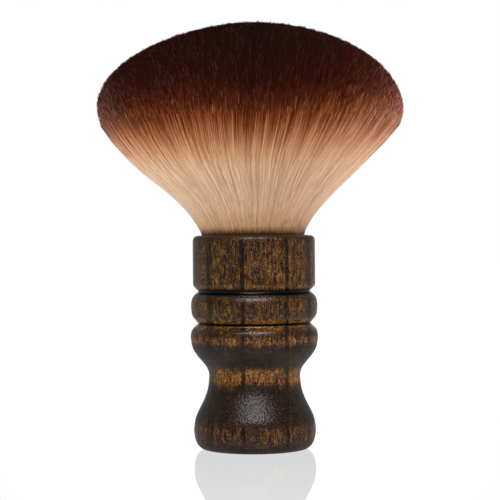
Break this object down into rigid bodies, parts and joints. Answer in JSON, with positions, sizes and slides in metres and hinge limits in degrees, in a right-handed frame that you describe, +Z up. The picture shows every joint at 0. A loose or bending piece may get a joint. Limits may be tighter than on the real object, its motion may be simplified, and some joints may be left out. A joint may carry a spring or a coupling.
{
  "type": "neck duster brush",
  "caption": "Barber's neck duster: a wide, round, dome-trimmed tuft of soft filaments glued into a turned, dark-stained wooden handle that stands on its flat foot.",
  "frame": {"origin": "centre of the flat underside of the foot, on the turning axis", "axes": "+Z up along the turning axis, from the foot to the crown of the tuft; +X and +Y horizontal, with -Y towards the front view; the shape is the same all round"},
  "size_m": [0.1036, 0.1036, 0.145],
  "materials": {
    "stained_wood": "dark-stained and scorched hardwood with golden grain flecks under a semi-gloss lacquer",
    "adhesive": "cured epoxy",
    "resin": "cast resin",
    "thread": "waxed binding thread",
    "filament": "soft synthetic filament, tan at the root, reddish brown and then nearly black towards the tip"
  },
  "bodies": {
    "root": {"handle": "stained_wood", "socket_adhesive": "adhesive", "knot_plug": "resin", "root_binding": "thread", "bristle_core": "filament", "bristle_middle": "filament", "bristle_outer": "filament"}
  },
  "joints": []
}
